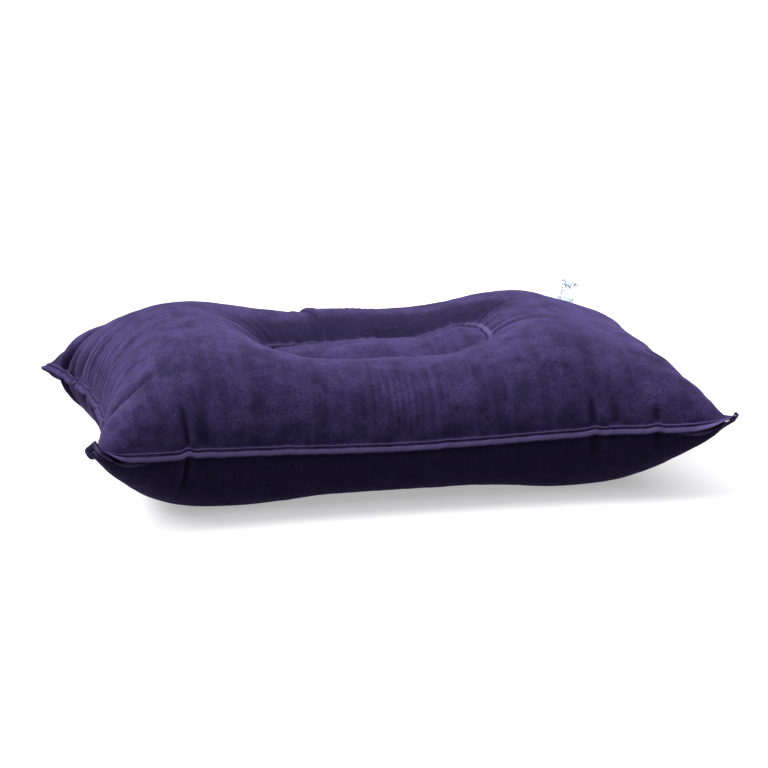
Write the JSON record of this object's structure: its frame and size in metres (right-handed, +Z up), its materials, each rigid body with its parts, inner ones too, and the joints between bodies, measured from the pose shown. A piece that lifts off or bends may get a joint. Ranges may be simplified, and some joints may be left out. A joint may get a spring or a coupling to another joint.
{
  "type": "camp pillow",
  "caption": "Inflated rectangular camp pillow of two flocked vinyl sheets with a welded border, an oval tied hollow in the middle and a push-in blow valve with a tethered plug.",
  "frame": {"origin": "middle of the flat underside, on the ground", "axes": "+X along the pillow towards the valve's end, +Y towards the valve's side, +Z up"},
  "size_m": [0.455, 0.289, 0.116],
  "materials": {
    "flocked_vinyl": "velvety flock on soft vinyl",
    "web_vinyl": "plain matt vinyl",
    "clear_vinyl": "clear soft moulding"
  },
  "bodies": {
    "pillow": {"top_sheet": "flocked_vinyl", "bottom_sheet": "flocked_vinyl", "ring_web": "web_vinyl", "valve_base": "clear_vinyl", "valve_skirt": "clear_vinyl"},
    "stem": {"valve_stem": "clear_vinyl"},
    "plug": {"valve_plug": "clear_vinyl", "plug_strap": "clear_vinyl"},
    "flap": {"check_flap": "clear_vinyl"}
  },
  "joints": [
    {"name": "valve_press", "type": "slide", "parent": "pillow", "child": "stem", "axis": [0.3334, 0.2959, 0.8951], "range_m": [-0.0125, 0], "deforming": ["valve_skirt"]},
    {"name": "plug_swing", "type": "hinge", "parent": "stem", "child": "plug", "pos_m": [0.18247, 0.09734, 0.10729], "axis": [0, 0.9495, -0.3138], "range_deg": [0, 170]},
    {"name": "flap_swing", "type": "hinge", "parent": "stem", "child": "flap", "pos_m": [0.1621, 0.0917, 0.0902], "axis": [0, 0.9495, -0.3138], "range_deg": [0, 60], "stiffness_Nm_per_rad": 0.0001, "springref_deg": -11.46}
  ]
}
